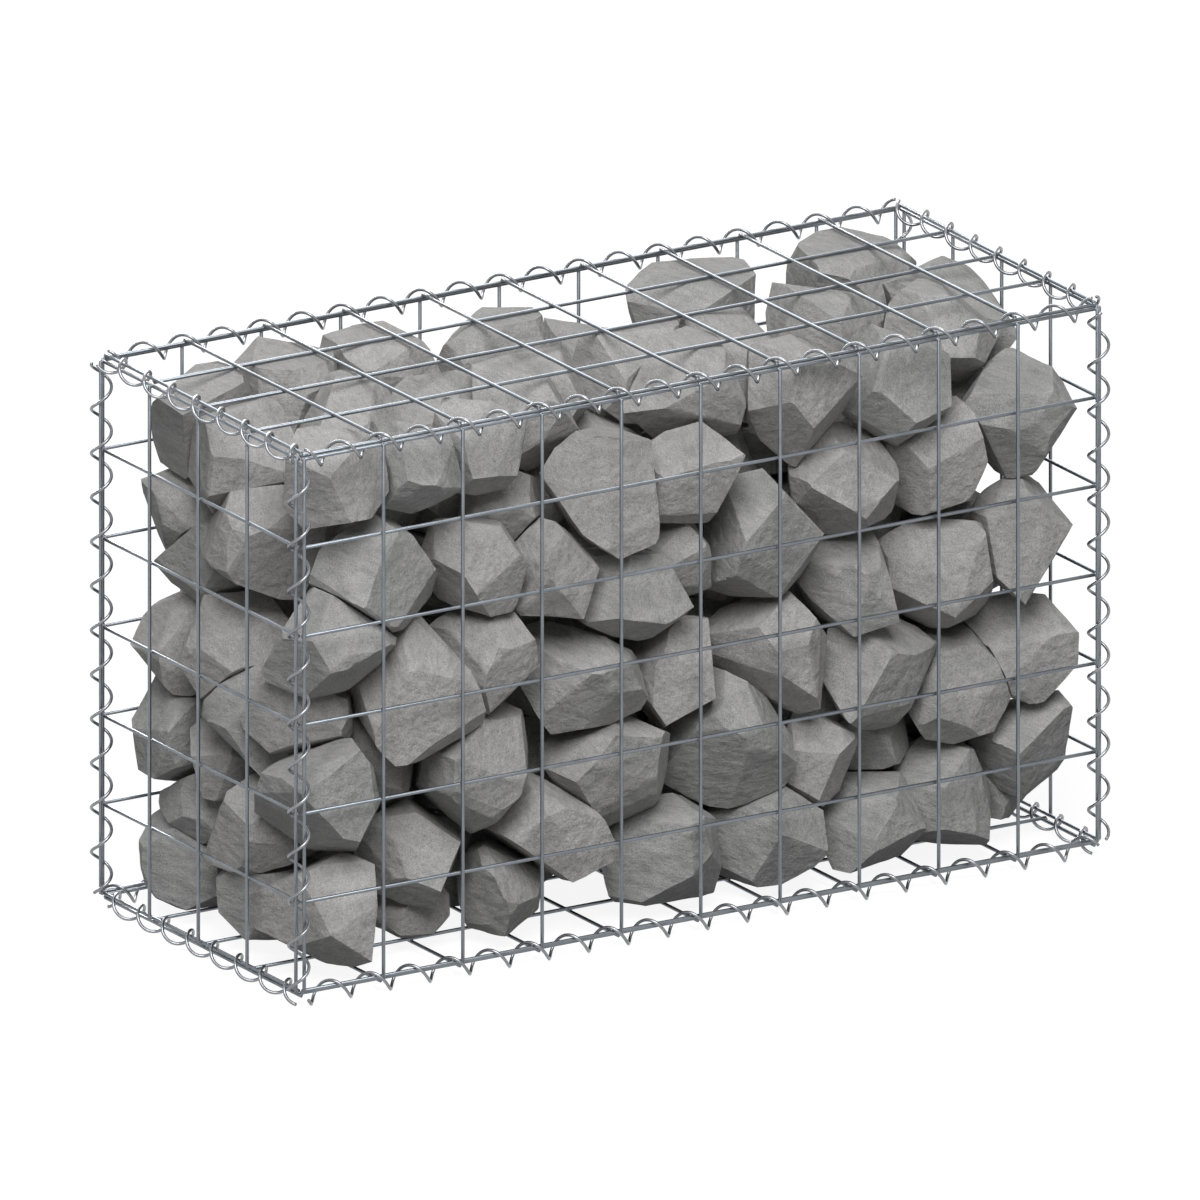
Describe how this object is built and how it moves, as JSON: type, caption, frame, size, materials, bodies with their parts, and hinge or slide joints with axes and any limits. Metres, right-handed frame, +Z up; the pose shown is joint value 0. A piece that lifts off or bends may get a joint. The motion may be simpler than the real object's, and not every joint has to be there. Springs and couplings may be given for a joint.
{
  "type": "gabion wall basket",
  "caption": "Free-standing gabion: a welded wire mesh box laced along every edge with spiral wires and filled with broken grey stone, used as a garden or retaining wall unit.",
  "frame": {"origin": "under the middle of the basket, level with the lowest turns of the bottom spirals", "axes": "+X along the wall, +Y from the front to the back, +Z up"},
  "size_m": [1.0332, 0.4292, 0.6312],
  "materials": {
    "mesh_wire": "galvanised, dull blue-grey",
    "spiral_wire": "galvanised, bright",
    "stone": "broken, fine-grained grey"
  },
  "bodies": {
    "root": {"front_panel": "mesh_wire", "back_panel": "mesh_wire", "left_end_panel": "mesh_wire", "right_end_panel": "mesh_wire", "base_panel": "mesh_wire", "lid_panel": "mesh_wire", "front_top_spiral": "spiral_wire", "back_top_spiral": "spiral_wire", "left_top_spiral": "spiral_wire", "right_top_spiral": "spiral_wire", "front_bottom_spiral": "spiral_wire", "back_bottom_spiral": "spiral_wire", "left_bottom_spiral": "spiral_wire", "right_bottom_spiral": "spiral_wire", "front_left_spiral": "spiral_wire", "front_right_spiral": "spiral_wire", "back_left_spiral": "spiral_wire", "back_right_spiral": "spiral_wire", "front_stones_1": "stone", "front_stones_2": "stone", "front_stones_3": "stone", "front_stones_4": "stone", "front_stones_5": "stone", "front_stones_6": "stone", "core_stones_1": "stone", "core_stones_2": "stone", "core_stones_3": "stone", "core_stones_4": "stone", "core_stones_5": "stone", "core_stones_6": "stone", "back_stones_1": "stone", "back_stones_2": "stone", "back_stones_3": "stone", "back_stones_4": "stone", "back_stones_5": "stone", "back_stones_6": "stone"}
  },
  "joints": []
}
